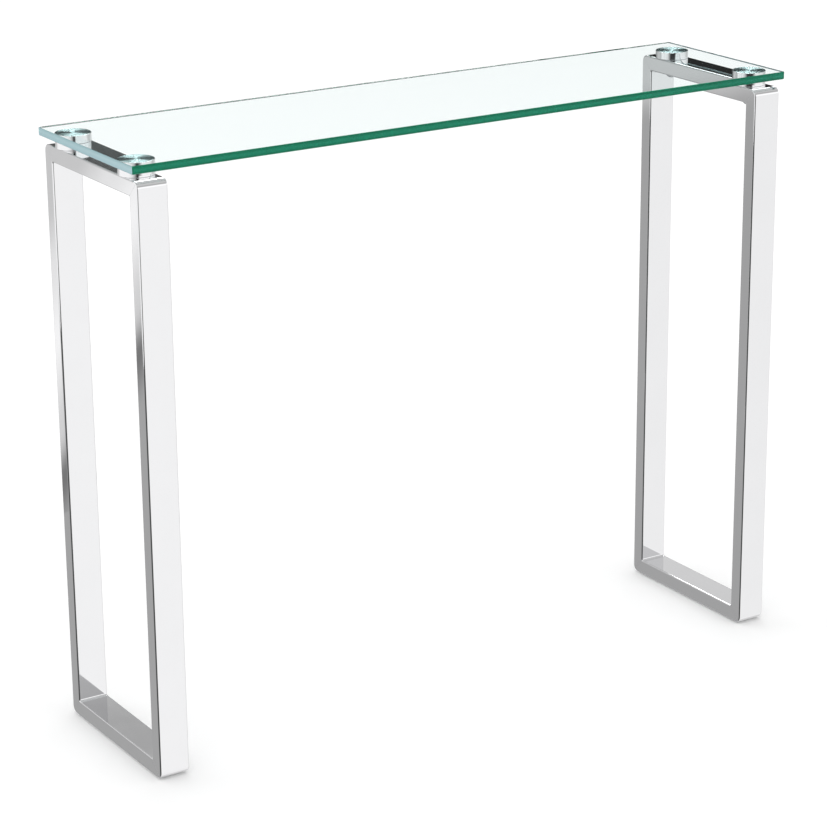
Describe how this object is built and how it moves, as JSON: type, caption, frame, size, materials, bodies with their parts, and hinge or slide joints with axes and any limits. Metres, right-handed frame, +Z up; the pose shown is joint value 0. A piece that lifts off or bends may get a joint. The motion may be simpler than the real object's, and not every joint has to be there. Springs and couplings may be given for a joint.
{
  "type": "console table",
  "caption": "Slim console table: a clear glass top bonded to round metal standoffs on two rectangular loops of polished tube.",
  "frame": {"origin": "on the floor, under the middle of the table", "axes": "+X along the table to its right end, +Y across its depth to the back, +Z up"},
  "size_m": [0.95, 0.25, 0.77],
  "materials": {
    "clear_glass": "polished float glass with a green edge",
    "polished_tube": "mirror polished",
    "turned_standoff": "polished side, fine turned end face",
    "clear_adhesive": "clear cured film",
    "bolt_steel": "bright zinc plated",
    "washer_steel": "bright zinc plated",
    "spring_steel": "oiled spring steel",
    "sleeve_steel": "sawn steel tube",
    "pad_plastic": "fine matte texture"
  },
  "bodies": {
    "root": {"glass_top": "clear_glass", "left_top_rail": "polished_tube", "left_foot_rail": "polished_tube", "left_front_post": "polished_tube", "left_back_post": "polished_tube", "right_top_rail": "polished_tube", "right_foot_rail": "polished_tube", "right_front_post": "polished_tube", "right_back_post": "polished_tube", "left_front_standoff": "turned_standoff", "left_back_standoff": "turned_standoff", "right_front_standoff": "turned_standoff", "right_back_standoff": "turned_standoff", "left_front_bond": "clear_adhesive", "left_back_bond": "clear_adhesive", "right_front_bond": "clear_adhesive", "right_back_bond": "clear_adhesive", "left_front_bolt": "bolt_steel", "left_back_bolt": "bolt_steel", "right_front_bolt": "bolt_steel", "right_back_bolt": "bolt_steel", "left_front_spring_washer": "spring_steel", "left_back_spring_washer": "spring_steel", "right_front_spring_washer": "spring_steel", "right_back_spring_washer": "spring_steel", "left_front_washer": "washer_steel", "left_back_washer": "washer_steel", "right_front_washer": "washer_steel", "right_back_washer": "washer_steel", "left_front_sleeve": "sleeve_steel", "left_back_sleeve": "sleeve_steel", "right_front_sleeve": "sleeve_steel", "right_back_sleeve": "sleeve_steel", "left_front_pad": "pad_plastic", "left_back_pad": "pad_plastic", "right_front_pad": "pad_plastic", "right_back_pad": "pad_plastic"}
  },
  "joints": []
}
